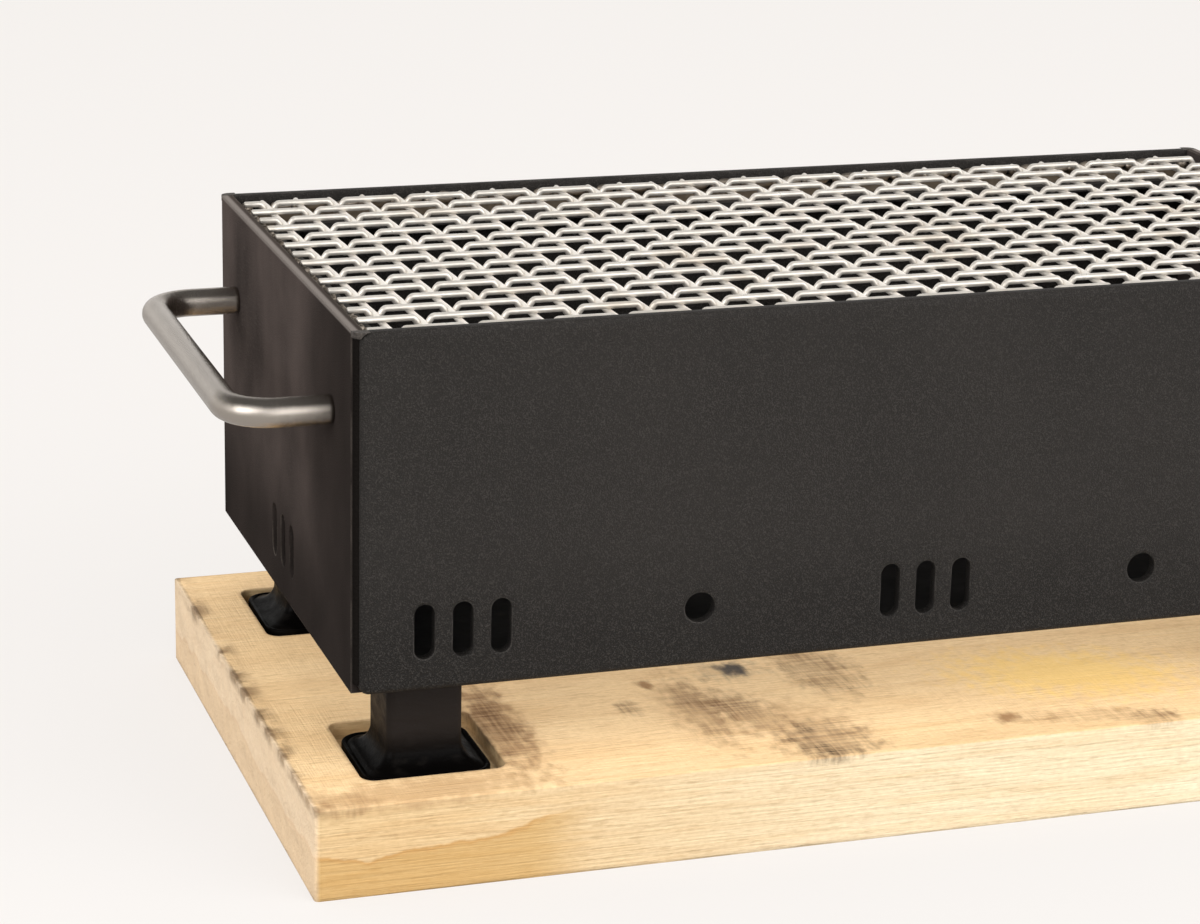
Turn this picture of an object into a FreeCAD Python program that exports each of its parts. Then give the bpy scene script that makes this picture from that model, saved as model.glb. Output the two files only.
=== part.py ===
# Hibachi grill: a welded steel firebox with two bent-rod handles, four rubber-shod legs,
# a lift-out charcoal plate and woven wire cooking grate, standing in a pocketed wooden board.
# Frame: origin at the centre of the board's underside, +X along the firebox, +Z up, front is -Y.
import FreeCAD, Part
import math
import os
import re
import Sketcher

V = FreeCAD.Vector

DIMENSIONS = {
    # firebox
    "body_length": 400, "body_depth": 204, "body_height": 122, "wall": 4,
    "floor_thick": 4, "corner_step": 2, "panel_corner": 3.5, "panel_edge": 2,
    "weld_foot_gap": 3.5, "weld_inset": 1.4, "weld_set_back": 0.6, "cap_tall": 2, "cap_round": 3.6,
    # vents low on the walls
    "vent_height": 20.4, "vent_spacing": 163.4, "slot_width": 7, "slot_tall": 19, "slot_spacing": 13,
    "air_hole": 10.7, "air_hole_spacing": 163,
    # handles and their screws
    "rod": 10, "handle_span": 144, "handle_reach": 32.5, "handle_bend": 15, "handle_drop": 33,
    "screw_size": 6, "screw_depth": 12, "screw_head": 10, "screw_head_tall": 4,
    "key_across": 5, "key_deep": 2.4,
    "thread_clear": 0.1, "hole_clear": 0.6, "washer_side": 12.5, "washer_thick": 1.6,
    # ledges inside the firebox
    "ledge_width": 12, "ledge_thick": 3, "seat_gap": 0.1,
    "rail_width": 22, "rail_height": 35, "rail_thick": 3,
    # charcoal plate
    "plate_thick": 3, "plate_end_gap": 16, "plate_side_gap": 16,
    "plate_corner": 6, "plate_slot_width": 8, "plate_slot_pitch": 18, "plate_margin": 14,
    # cooking grate
    "wire": 2.2, "row_pitch": 12.95, "cross_pitch": 12.63, "first_row": 1.9, "first_cross": 10.8,
    "wire_end_gap": 1.6, "wire_end_level": 0.5, "cross_end_gap": 0.9,
    "crossing_gap": 0.15, "cross_crimp": 0.2,
    "bar_width": 6, "bar_thick": 3, "bar_gap": 1, "grate_proud": 0.2,
    # legs and rubber feet
    "foot_inset": 28.5, "leg_side": 20, "leg_wall": 2, "leg_corner": 2.5,
    "sleeve_side": 26, "sleeve_corner": 3, "sleeve_gap": 0.5, "foot_side": 44, "foot_corner": 8,
    "foot_flange": 5, "foot_flare": 7.5, "foot_lip": 0.5, "foot_sole": 4,
    # board
    "board_gap": 32, "board_thick": 32, "board_end": 16.5, "board_side": 14.5, "board_edge": 1.5,
    "pocket_wide": 50, "pocket_deep": 53, "pocket_depth": 6, "pocket_corner": 5,
    "pocket_shift_x": 1, "pocket_shift_y": 3,
}

doc = FreeCAD.newDocument("HibachiGrill")
sheet = doc.addObject("Spreadsheet::Sheet", "Dims")
for row, (alias, number) in enumerate(DIMENSIONS.items(), start=1):
    sheet.set(f"A{row}", alias)
    sheet.set(f"B{row}", str(number))
    sheet.setAlias(f"B{row}", alias)
doc.recompute()

parts = []

# ---------------------------------------------------------------- helpers


def named(text):
    """Write bare dimension names as references to the sheet."""
    return re.sub(r"[a-z_]+", lambda m: "Dims." + m[0] if m[0] in DIMENSIONS else m[0], str(text))


def size(text):
    """The present value of an expression in dimension names."""
    return float(sheet.evalExpression(str(text)))


def bind(thing, prop, text):
    thing.setExpression(prop, named(text))


def place(thing, x="0", y="0", z="0", turn=0):
    """Stand an object at a bound position, turned about +Z by whole degrees."""
    thing.Placement = FreeCAD.Placement(V(size(x), size(y), size(z)), FreeCAD.Rotation(V(0, 0, 1), turn))
    for axis, text in zip("xyz", (x, y, z)):
        bind(thing, "Placement.Base." + axis, text)


def new_body(label):
    body = doc.addObject("PartDesign::Body", label)
    body.Label = label
    parts.append(body)
    return body


def new_sketch(body, name, role="XY_Plane", offset=None):
    """An empty sketch on one of the body's origin planes, raised by a bound offset."""
    sketch = body.newObject("Sketcher::SketchObject", name)
    plane = [item for item in body.Origin.OriginFeatures if item.Role == role][0]
    sketch.AttachmentSupport = [(plane, "")]
    sketch.MapMode = "FlatFace"
    if offset:
        bind(sketch, "AttachmentOffset.Base.z", offset)
    return sketch


def limit(sketch, text, *constraint):
    """Add one dimensional constraint and bind it to an expression."""
    index = sketch.addConstraint(Sketcher.Constraint(*constraint, size(text)))
    sketch.renameConstraint(index, f"size_{index}")
    bind(sketch, f"Constraints.size_{index}", text)


def add_rectangle(sketch, wide, tall, middle_x="0", middle_y="0"):
    """A rectangle whose lower left corner and sides are bound."""
    w, t, cx, cy = size(wide), size(tall), size(middle_x), size(middle_y)
    corners = [V(cx + sx * w / 2, cy + sy * t / 2, 0) for sx, sy in ((-1, -1), (1, -1), (1, 1), (-1, 1))]
    first = sketch.GeometryCount
    for k in range(4):
        sketch.addGeometry(Part.LineSegment(corners[k], corners[(k + 1) % 4]))
    for k in range(4):
        sketch.addConstraint(Sketcher.Constraint("Coincident", first + k, 2, first + (k + 1) % 4, 1))
        sketch.addConstraint(Sketcher.Constraint(("Horizontal", "Vertical")[k % 2], first + k))
    limit(sketch, wide, "DistanceX", first, 1, first, 2)
    limit(sketch, tall, "DistanceY", first + 1, 1, first + 1, 2)
    limit(sketch, f"({middle_x}) - ({wide}) / 2", "DistanceX", -1, 1, first, 1)
    limit(sketch, f"({middle_y}) - ({tall}) / 2", "DistanceY", -1, 1, first, 1)


def add_circle(sketch, across, middle_x="0", middle_y="0"):
    middle = V(size(middle_x), size(middle_y), 0)
    index = sketch.addGeometry(Part.Circle(middle, V(0, 0, 1), size(across) / 2))
    limit(sketch, across, "Diameter", index)
    limit(sketch, middle_x, "DistanceX", -1, 1, index, 3)
    limit(sketch, middle_y, "DistanceY", -1, 1, index, 3)


def pad(body, sketch, length, reverse=False):
    feature = body.newObject("PartDesign::Pad", "Pad")
    feature.Profile = sketch
    feature.Reversed = reverse
    bind(feature, "Length", length)
    doc.recompute()
    return feature


def pocket(body, sketch, length, reverse=False):
    """Cut a sketch out of the body and make sure that metal really went."""
    before = body.Shape.Volume
    feature = body.newObject("PartDesign::Pocket", "Pocket")
    feature.Profile = sketch
    feature.Reversed = reverse
    bind(feature, "Length", length)
    doc.recompute()
    if body.Shape.Volume > before - 0.01:
        raise ValueError(body.Label + ": the pocket cuts nothing")
    return feature


def edge_names(shape, wanted):
    return [f"Edge{k}" for k, edge in enumerate(shape.Edges, start=1) if wanted(edge)]


def runs_along(edge, axis):
    """True for a straight edge parallel to the named axis."""
    if edge.Curve.TypeId != "Part::GeomLine":
        return False
    way = edge.Vertexes[-1].Point - edge.Vertexes[0].Point
    return abs(abs(getattr(way.normalize(), axis)) - 1) < 1e-6


def fillet(body, base, wanted, radius):
    """Round the edges that a test picks, with a bound radius."""
    feature = body.newObject("PartDesign::Fillet", "Fillet")
    feature.Base = (base, edge_names(base.Shape, wanted))
    bind(feature, "Radius", radius)
    doc.recompute()
    return feature


def box(label, wide, deep, tall, x, y, z):
    """A bar or flat with bound sides, placed by the middle of its underside."""
    bar = doc.addObject("Part::Box", label)
    bar.Label = label
    bind(bar, "Length", wide)
    bind(bar, "Width", deep)
    bind(bar, "Height", tall)
    place(bar, f"({x}) - ({wide}) / 2", f"({y}) - ({deep}) / 2", z)
    parts.append(bar)
    return bar


def solid_group(label, solids):
    """Several separate solids that share one node."""
    group = doc.addObject("Part::Feature", label)
    group.Label = label
    group.Shape = solids[0] if len(solids) == 1 else Part.makeCompound(solids)
    group.Placement = FreeCAD.Placement()
    parts.append(group)
    return group


UNDERSIDE = "board_thick + board_gap"
RIM = "board_thick + board_gap + body_height"
ROW_CRIMP = "(wire + crossing_gap - cross_crimp)"
BAR_UNDERSIDE = f"{RIM} + grate_proud - 2 * {ROW_CRIMP} - wire - bar_thick"
SLACK = 0.01
SIGNS = ((-1, -1, "front_left"), (1, -1, "front_right"), (-1, 1, "rear_left"), (1, 1, "rear_right"))

# ---------------------------------------------------------------- board


def pocket_middle(sx, sy):
    """Centre of one foot pocket: a little inboard of its foot, so the foot drops in easily."""
    return (f"{sx} * (body_length / 2 - foot_inset - pocket_shift_x)",
            f"{sy} * (body_depth / 2 - foot_inset - pocket_shift_y)")


def upright_from(edge, level):
    """True for an upright edge whose foot is at the given height."""
    return runs_along(edge, "z") and abs(edge.BoundBox.ZMin - level) < SLACK


def make_board():
    body = new_body("base_board")
    outline = new_sketch(body, "board_outline")
    add_rectangle(outline, "body_length + 2 * board_end", "body_depth + 2 * board_side")
    pad(body, outline, "board_thick")
    mouths = new_sketch(body, "pocket_mouths", offset="board_thick")
    for sx, sy, _ in SIGNS:
        add_rectangle(mouths, "pocket_wide", "pocket_deep", *pocket_middle(sx, sy))
    cut = pocket(body, mouths, "pocket_depth")
    floor = size("board_thick - pocket_depth")
    cut = fillet(body, cut, lambda edge: upright_from(edge, floor), "pocket_corner")
    fillet(body, cut, lambda edge: upright_from(edge, 0), "board_edge")
    place(body)


# ---------------------------------------------------------------- firebox walls


def round_vents(body, cut):
    """Round the ends of the vent slots: their corners are the upright-cut edges clear of the outline."""
    top = size("vent_height + slot_tall / 2")

    def in_vent(edge):
        return runs_along(edge, "y") and SLACK < edge.BoundBox.ZMin and edge.BoundBox.ZMax < top + SLACK

    return fillet(body, cut, in_vent, f"slot_width / 2 - {SLACK}")


def wall_panel(label, wide, vents, holes):
    """A flat wall: outer face on y = 0, metal towards +Y, with slotted vents and air holes."""
    body = new_body(label)
    outline = new_sketch(body, label + "_outline", "XZ_Plane")
    add_rectangle(outline, wide, "body_height", "0", "body_height / 2")
    pad(body, outline, "wall", reverse=True)
    openings = new_sketch(body, label + "_openings", "XZ_Plane")
    for middle in vents:
        for step in (-1, 0, 1):
            across = f"{middle} + {step} * slot_spacing"
            add_rectangle(openings, "slot_width", "slot_tall", across, "vent_height")
    cut = round_vents(body, pocket(body, openings, "wall"))
    drilled = new_sketch(body, label + "_holes", "XZ_Plane")
    for across, middle, level in holes:
        add_circle(drilled, across, middle, level)
    return body, pocket(body, drilled, "wall")


def outer_rim(edge, wide):
    """Edges round the outside of the outer face: not those of the vents or holes."""
    shell = edge.BoundBox
    half, tall, corner = size(wide) / 2, size("body_height"), size("panel_corner")
    on_face = abs(shell.YMin) < SLACK and abs(shell.YMax) < SLACK
    near = (shell.XMax < -half + corner + SLACK or shell.XMin > half - corner - SLACK
            or shell.ZMax < SLACK or shell.ZMin > tall - SLACK)
    return on_face and near


def make_long_walls():
    """Front and rear walls: three groups of vent slots with an air hole between each two."""
    wide = "body_length - 2 * corner_step"
    half = size(wide) / 2
    vents = ("-vent_spacing", "0", "vent_spacing")
    holes = [("air_hole", f"{end} * air_hole_spacing / 2", "vent_height") for end in (-1, 1)]

    def at_corner(edge):
        return runs_along(edge, "y") and abs(abs(edge.BoundBox.XMin) - half) < SLACK

    for label, side, turn in (("front_panel", "-", 0), ("rear_panel", "", 180)):
        body, cut = wall_panel(label, wide, vents, holes)
        cut = fillet(body, cut, at_corner, "panel_corner")
        fillet(body, cut, lambda edge: outer_rim(edge, wide), "panel_edge")
        place(body, "0", side + "body_depth / 2", UNDERSIDE, turn)


def make_end_walls():
    """End walls fit between the long walls, with one vent group and two screw holes each."""
    wide = "body_depth - 2 * wall"
    holes = [("screw_size + hole_clear", f"{end} * handle_span / 2", "body_height - handle_drop")
             for end in (-1, 1)]
    for label, side, turn in (("left_end_panel", "-", -90), ("right_end_panel", "", 90)):
        body, _ = wall_panel(label, wide, ("0",), holes)
        place(body, side + "body_length / 2", "0", UNDERSIDE, turn)


def make_floor():
    box("floor_panel", "body_length - 2 * wall", "body_depth - 2 * wall", "floor_thick", "0", "0", UNDERSIDE)


def weld_bead(sx, sy):
    """The bead at the bottom of one open corner: an arc in plan, set back from both outer faces."""
    step, wall = size("corner_step"), size("wall")
    inner = V(sx * (size("body_length") / 2 - step), sy * (size("body_depth") / 2 - wall), 0)
    side = inner + V(sx * (step - size("weld_set_back")), 0, 0)
    front = inner + V(0, sy * (wall - size("weld_inset")), 0)
    bulge = inner + ((side - inner) + (front - inner)) * 0.75
    arc = Part.Arc(side, bulge, front).toShape()
    outline = Part.Wire([Part.makeLine(inner, side), arc, Part.makeLine(front, inner)])
    bead = Part.Face(outline).extrude(V(0, 0, size("body_height - weld_foot_gap - cap_tall / 2")))
    bead.translate(V(0, 0, size(UNDERSIDE) + size("weld_foot_gap")))
    return bead


def weld_cap(sx, sy):
    """The rim's filled corner: flush with both walls, rounded in plan, lying on the long wall's round."""
    corner, tall = size("panel_corner"), size("cap_tall")
    reach = size("corner_step") + corner
    foot = reach - (corner ** 2 - (corner - tall) ** 2) ** 0.5
    middle = reach - corner * 2 ** -0.5
    rise = corner * (1 - 2 ** -0.5)
    if rise > tall:
        middle = (foot + reach) / 2
        rise = corner - (corner ** 2 - (reach - middle) ** 2) ** 0.5
    low, arc_middle = V(foot, 0, -tall), V(middle, 0, -rise)
    arc = Part.Arc(low, arc_middle, V(reach, 0, 0)).toShape()
    edges = [Part.makeLine(V(0, 0, -tall), low), arc, Part.makeLine(V(reach, 0, 0), V(0, 0, 0)),
             Part.makeLine(V(0, 0, 0), V(0, 0, -tall))]
    cap = Part.Face(Part.Wire(edges)).extrude(V(0, size("wall"), 0))
    outer = [edge for edge in cap.Edges if runs_along(edge, "z")
             and edge.BoundBox.XMax < SLACK and edge.BoundBox.YMax < SLACK]
    cap = cap.makeFillet(min(size("cap_round"), size("wall") - SLACK), outer)
    if sx > 0:
        cap = cap.mirror(V(0, 0, 0), V(1, 0, 0))
    if sy > 0:
        cap = cap.mirror(V(0, 0, 0), V(0, 1, 0))
    cap.translate(V(sx * size("body_length") / 2, sy * size("body_depth") / 2, size(RIM)))
    return cap


def make_corner_welds():
    """Each open corner holds a bead up its height and a flush, rounded cap at the rim."""
    welds = [weld_bead(sx, sy).fuse(weld_cap(sx, sy)).removeSplitter().Solids for sx, sy, _ in SIGNS]
    if any(len(solids) != 1 for solids in welds):
        raise ValueError("a corner weld came apart")
    solid_group("corner_welds", [solids[0] for solids in welds])


# ---------------------------------------------------------------- ledges


def make_ledges():
    """Flat bars welded inside: a ring for the cooking grate and two end rails for the charcoal plate."""
    top = f"{BAR_UNDERSIDE} - seat_gap - ledge_thick"
    inner_long = "body_length - 2 * wall"
    inner_deep = "body_depth - 2 * wall"
    for label, sign in (("grate_ledge_front", "-1"), ("grate_ledge_rear", "1")):
        box(label, inner_long, "ledge_width", "ledge_thick", "0",
            f"{sign} * (body_depth / 2 - wall - ledge_width / 2)", top)
    for label, sign in (("grate_ledge_left", "-1"), ("grate_ledge_right", "1")):
        box(label, "ledge_width", inner_deep + " - 2 * ledge_width", "ledge_thick",
            f"{sign} * (body_length / 2 - wall - ledge_width / 2)", "0", top)
    for label, sign in (("charcoal_rail_left", "-1"), ("charcoal_rail_right", "1")):
        box(label, "rail_width", inner_deep, "rail_thick",
            f"{sign} * (body_length / 2 - wall - rail_width / 2)", "0",
            f"{UNDERSIDE} + floor_thick + rail_height - rail_thick")


# ---------------------------------------------------------------- handles


def handle_path(sketch):
    """Half a D: out from the wall, round a bend, along the grip, round a bend and back."""
    half, reach, bend = size("handle_span") / 2, size("handle_reach"), size("handle_bend")
    turn = bend * (1 - 2 ** -0.5)
    line, arc = Part.LineSegment, Part.Arc
    points = [V(-half, 0, 0), V(-half, bend - reach, 0), V(turn - half, turn - reach, 0),
              V(bend - half, -reach, 0), V(half - bend, -reach, 0), V(half - turn, turn - reach, 0),
              V(half, bend - reach, 0), V(half, 0, 0)]
    sketch.addGeometry(line(*points[:2]))
    sketch.addGeometry(arc(*points[1:4]))
    sketch.addGeometry(line(*points[3:5]))
    sketch.addGeometry(arc(*points[4:7]))
    sketch.addGeometry(line(*points[6:]))
    for piece in range(4):
        sketch.addConstraint(Sketcher.Constraint("Tangent", piece, 2, piece + 1, 1))
    for piece, way in ((0, "Vertical"), (2, "Horizontal"), (4, "Vertical")):
        sketch.addConstraint(Sketcher.Constraint(way, piece))
    sketch.addConstraint(Sketcher.Constraint("PointOnObject", 0, 1, -1))
    sketch.addConstraint(Sketcher.Constraint("Symmetric", 0, 1, 4, 2, -1, 1))
    sketch.addConstraint(Sketcher.Constraint("Equal", 1, 3))
    limit(sketch, "handle_span", "DistanceX", 0, 1, 4, 2)
    limit(sketch, "handle_bend", "Radius", 1)
    limit(sketch, "handle_reach", "DistanceY", 2, 1, -1, 1)


def make_handles():
    """Each handle: bent rod with a tapped hole in each end, square on the end wall's outer face."""
    for label, side, turn in (("left_handle", "-", -90), ("right_handle", "", 90)):
        body = new_body(label)
        path = new_sketch(body, label + "_path")
        handle_path(path)
        ring = new_sketch(body, label + "_section", "XZ_Plane")
        add_circle(ring, "rod", "-handle_span / 2", "0")
        doc.recompute()
        pipe = body.newObject("PartDesign::AdditivePipe", label + "_rod")
        pipe.Profile = ring
        pipe.Spine = (path, [f"Edge{k}" for k in range(1, 6)])
        doc.recompute()
        taps = new_sketch(body, label + "_taps", "XZ_Plane")
        for end in (-1, 1):
            add_circle(taps, "screw_size + thread_clear", f"{end} * handle_span / 2", "0")
        pocket(body, taps, "screw_depth + 1", reverse=True)
        place(body, side + "body_length / 2", "0", f"{RIM} - handle_drop", turn)


def screw_places():
    """Wall-inner-face points of the four handle screws, with the way their shanks point."""
    half, span = size("body_length") / 2 - size("wall"), size("handle_span") / 2
    level = size(RIM) - size("handle_drop")
    return [(V(sx * half, sy * span, level), V(sx, 0, 0)) for sx in (-1, 1) for sy in (-1, 1)]


def handle_washer(spot, way):
    """A flat ring against the wall's inner face."""
    thick = size("washer_thick")
    disc = Part.makeCylinder(size("washer_side") / 2, thick, spot - way * thick, way)
    return disc.cut(Part.makeCylinder(size("screw_size + hole_clear") / 2, thick, spot - way * thick, way))


def handle_screw(seat, way):
    """A cap screw: its head lies on the washer and its shank runs through the wall into the rod."""
    head = size("screw_head_tall")
    shank = size("washer_thick + wall + screw_depth")
    bolt = Part.makeCylinder(size("screw_size") / 2, shank, seat, way)
    cap = Part.makeCylinder(size("screw_head") / 2, head, seat - way * head, way)
    key = Part.Face(Part.makePolygon(hexagon(size("key_across")))).extrude(V(0, 0, size("key_deep")))
    key.Placement = FreeCAD.Placement(seat - way * head, FreeCAD.Rotation(V(0, 0, 1), way))
    return cap.fuse(bolt).removeSplitter().cut(key)


def hexagon(across):
    """Corners of a closed hexagon with the given width across its flats."""
    half, flat = across / 2, across / 3 ** 0.5
    corners = ((flat, 0), (flat / 2, half), (-flat / 2, half),
               (-flat, 0), (-flat / 2, -half), (flat / 2, -half))
    return [V(x, y, 0) for x, y in corners + corners[:1]]


def make_fixings():
    """A washer and a hex socket screw behind each handle end."""
    places = screw_places()
    washers = [handle_washer(spot, way) for spot, way in places]
    screws = [handle_screw(spot - way * size("washer_thick"), way) for spot, way in places]
    solid_group("handle_washers", [piece.Solids[0] for piece in washers])
    solid_group("handle_screws", [piece.Solids[0] for piece in screws])


# ---------------------------------------------------------------- legs and feet


def foot_middle(sx, sy):
    return f"{sx} * (body_length / 2 - foot_inset)", f"{sy} * (body_depth / 2 - foot_inset)"


def on_corner(edge, half):
    """True for an upright edge at a corner of the square whose half side is given."""
    shell = edge.BoundBox
    at_corner = abs(abs(shell.XMin) - half) < SLACK and abs(abs(shell.YMin) - half) < SLACK
    return runs_along(edge, "z") and at_corner


def make_leg(name, x, y):
    """Square tube welded under the floor, ending on the sole inside its rubber foot."""
    body = new_body("leg_" + name)
    outline = new_sketch(body, "leg_outline_" + name)
    add_rectangle(outline, "leg_side", "leg_side")
    add_rectangle(outline, "leg_side - 2 * leg_wall", "leg_side - 2 * leg_wall")
    tube = pad(body, outline, "board_gap + pocket_depth - foot_sole")
    fillet(body, tube, lambda edge: on_corner(edge, size("leg_side") / 2), "leg_corner")
    place(body, x, y, "board_thick - pocket_depth + foot_sole")


def make_foot(name, x, y):
    """Rubber ferrule: a square sleeve that flares out to a broad flange, hollow for the leg."""
    body = new_body("foot_" + name)
    sole = new_sketch(body, "foot_sole_" + name)
    add_rectangle(sole, "foot_side", "foot_side")
    flange = pad(body, sole, "foot_flange")
    fillet(body, flange, lambda edge: runs_along(edge, "z"), "foot_corner")
    sleeve = new_sketch(body, "foot_sleeve_" + name)
    add_rectangle(sleeve, "sleeve_side", "sleeve_side")
    tube = pad(body, sleeve, "board_gap + pocket_depth - sleeve_gap")
    half, step = size("sleeve_side") / 2, size("foot_flange")

    def root(edge):
        shell = edge.BoundBox
        level = abs(shell.ZMin - step) < SLACK and abs(shell.ZMax - step) < SLACK
        return level and max(shell.XMax, -shell.XMin, shell.YMax, -shell.YMin) < half + SLACK

    tube = fillet(body, tube, lambda edge: on_corner(edge, half), "sleeve_corner")
    fillet(body, tube, root, "min(foot_flare; (foot_side - sleeve_side) / 2 - foot_lip)")
    bore = new_sketch(body, "foot_bore_" + name, offset="foot_sole")
    add_rectangle(bore, "leg_side", "leg_side")
    hollow = pocket(body, bore, "board_gap + pocket_depth", reverse=True)
    fillet(body, hollow, lambda edge: on_corner(edge, size("leg_side") / 2), "leg_corner")
    place(body, x, y, "board_thick - pocket_depth")


def make_legs():
    for sx, sy, name in SIGNS:
        x, y = foot_middle(sx, sy)
        make_leg(name, x, y)
        make_foot(name, x, y)


# ---------------------------------------------------------------- charcoal plate


def make_charcoal_plate():
    """Loose slotted plate that lies on the two end rails and lifts out through the ledge ring."""
    body = new_body("charcoal_plate")
    wide = "(body_length - 2 * wall - 2 * plate_end_gap)"
    deep = "(body_depth - 2 * wall - 2 * plate_side_gap)"
    outline = new_sketch(body, "plate_outline")
    add_rectangle(outline, wide, deep)
    slab = pad(body, outline, "plate_thick")
    fillet(body, slab, lambda edge: runs_along(edge, "z"), "plate_corner")
    slots = new_sketch(body, "plate_slots", offset="plate_thick")
    room = size(wide) - 2 * size("rail_width") - 2 * size("plate_margin")
    count = int(room / size("plate_slot_pitch")) + 1
    long = f"(({deep} - 3 * plate_margin) / 2)"
    for k in range(count):
        for sign in (-1, 1):
            add_rectangle(slots, "plate_slot_width", long,
                          f"({k} - {(count - 1) / 2}) * plate_slot_pitch",
                          f"{sign} * ({long} + plate_margin) / 2")
    cut = pocket(body, slots, "plate_thick")
    outside = size(wide) / 2 - size("plate_corner") - SLACK
    fillet(body, cut, lambda edge: runs_along(edge, "z") and abs(edge.BoundBox.XMax) < outside,
           f"plate_slot_width / 2 - {SLACK}")
    place(body, "0", "0", f"{UNDERSIDE} + floor_thick + rail_height + seat_gap")


# ---------------------------------------------------------------- cooking grate


def crimped_wire(start, crossings, end, crimp, first_up):
    """A wire along +X: over or under each crossing, with level ends, raised where there is room."""
    turns = list(crossings)
    signs = [first_up * (-1) ** k for k in range(len(turns))]
    lead, room = size("wire_end_level"), 3 * size("wire")
    if signs[0] < 0 and turns[0] - start > room:
        turns.insert(0, start + lead)
        signs.insert(0, 1)
    if signs[-1] < 0 and end - turns[-1] > room:
        turns.append(end - lead)
        signs.append(1)
    return swept_wire(start, turns, end, crimp, signs)


def swept_wire(start, crossings, end, crimp, signs):
    """Sweep the round wire along two tangent arcs between each turn and the next."""
    pieces = [Part.makeLine(V(start, 0, signs[0] * crimp), V(crossings[0], 0, signs[0] * crimp))]
    for k in range(len(crossings) - 1):
        here, there = crossings[k], crossings[k + 1]
        quarter = (there - here) / 2
        radius = (quarter ** 2 + crimp ** 2) / (2 * crimp)
        sag = radius - (radius ** 2 - quarter ** 2 / 4) ** 0.5
        up = signs[k]
        middle = V(here + quarter, 0, 0)
        away = V(here + quarter / 2, 0, up * (crimp - sag))
        back = V(there - quarter / 2, 0, -up * (crimp - sag))
        pieces.append(Part.Arc(V(here, 0, up * crimp), away, middle).toShape())
        pieces.append(Part.Arc(middle, back, V(there, 0, -up * crimp)).toShape())
    pieces.append(Part.makeLine(V(crossings[-1], 0, signs[-1] * crimp), V(end, 0, signs[-1] * crimp)))
    path = Part.Wire(pieces)
    ring = Part.Wire(Part.makeCircle(size("wire") / 2, V(start, 0, signs[0] * crimp), V(1, 0, 0)))
    rod = path.makePipeShell([ring], True, False)
    expected = path.Length * math.pi * size("wire") ** 2 / 4
    if not rod.isValid() or abs(rod.Volume / expected - 1) > 0.01:
        raise ValueError("a crimped wire did not sweep cleanly")
    return rod.Solids[0]


def spaced(first, pitch, room):
    """Places from first on, one pitch apart, that keep the same margin at the far end."""
    count = int((room - 2 * first) / pitch) + 1
    return [first + k * pitch for k in range(count)]


def grate_level():
    """Height of the mesh's middle plane, set so that the highest wire stands just proud of the rim."""
    return size(f"{RIM} + grate_proud - {ROW_CRIMP} - wire / 2")


def make_grate_wires():
    """Plain weave: each long wire passes over and under the cross wires, its neighbour the other way."""
    inner_long, inner_deep = size("body_length - 2 * wall"), size("body_depth - 2 * wall")
    rows = spaced(size("first_row"), size("row_pitch"), inner_deep)
    crosses = spaced(size("first_cross"), size("cross_pitch"), inner_long)
    gap, cross_gap = size("wire_end_gap"), size("cross_end_gap")
    corner = V(-inner_long / 2, -inner_deep / 2, grate_level())
    long_kinds = [crimped_wire(gap, crosses, inner_long - gap, size(ROW_CRIMP), sign) for sign in (-1, 1)]
    crimp, end = size("cross_crimp"), inner_deep - cross_gap
    cross_kinds = [crimped_wire(cross_gap, rows, end, crimp, sign) for sign in (1, -1)]
    long_wires = []
    for k, y in enumerate(rows):
        wire = long_kinds[k % 2].copy()
        wire.Placement = FreeCAD.Placement(corner + V(0, y, 0), FreeCAD.Rotation())
        long_wires.append(wire)
    cross_wires = []
    quarter_turn = FreeCAD.Rotation(V(0, 0, 1), 90)
    for k, x in enumerate(crosses):
        wire = cross_kinds[k % 2].copy()
        wire.Placement = FreeCAD.Placement(corner + V(x, 0, 0), quarter_turn)
        cross_wires.append(wire)
    solid_group("grate_long_wires", long_wires)
    solid_group("grate_cross_wires", cross_wires)


def make_grate_bars():
    """Flat bars under the mesh edges; they rest on the ledges."""
    low = BAR_UNDERSIDE
    reach_x = "(body_length / 2 - wall - bar_gap)"
    reach_y = "(body_depth / 2 - wall - bar_gap)"
    for label, sign in (("grate_bar_front", "-1"), ("grate_bar_rear", "1")):
        box(label, f"2 * {reach_x}", "bar_width", "bar_thick",
            "0", f"{sign} * ({reach_y} - bar_width / 2)", low)
    for label, sign in (("grate_bar_left", "-1"), ("grate_bar_right", "1")):
        box(label, "bar_width", f"2 * {reach_y} - 2 * bar_width", "bar_thick",
            f"{sign} * ({reach_x} - bar_width / 2)", "0", low)


# ---------------------------------------------------------------- build and write


def check_document():
    """Stop on any object that failed to compute, and on any sub-part that isn't sound."""
    doc.recompute()
    for thing in doc.Objects:
        if "Invalid" in thing.State or "Error" in thing.State:
            raise ValueError(thing.Label + " did not compute: " + str(thing.State))
    for part in parts:
        if part.Shape.isNull() or not part.Shape.isValid():
            raise ValueError(part.Label + " is not a valid shape")


def write_parts():
    os.makedirs("parts", exist_ok=True)
    for part in parts:
        part.Shape.exportStep(os.path.join("parts", part.Label + ".step"))
        print(part.Label, len(part.Shape.Solids), round(part.Shape.Volume, 1))


make_board()
make_long_walls()
make_end_walls()
make_floor()
make_corner_welds()
make_ledges()
make_handles()
make_fixings()
make_legs()
make_charcoal_plate()
make_grate_wires()
make_grate_bars()
check_document()
write_parts()
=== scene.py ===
# Hibachi grill: the finish of a black steel firebox with woven wire grate on a wooden board.
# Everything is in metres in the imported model's frame: board underside at z = 0, front is -Y.
import math
import bpy
import numpy as np
from mathutils import Matrix, Vector


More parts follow.
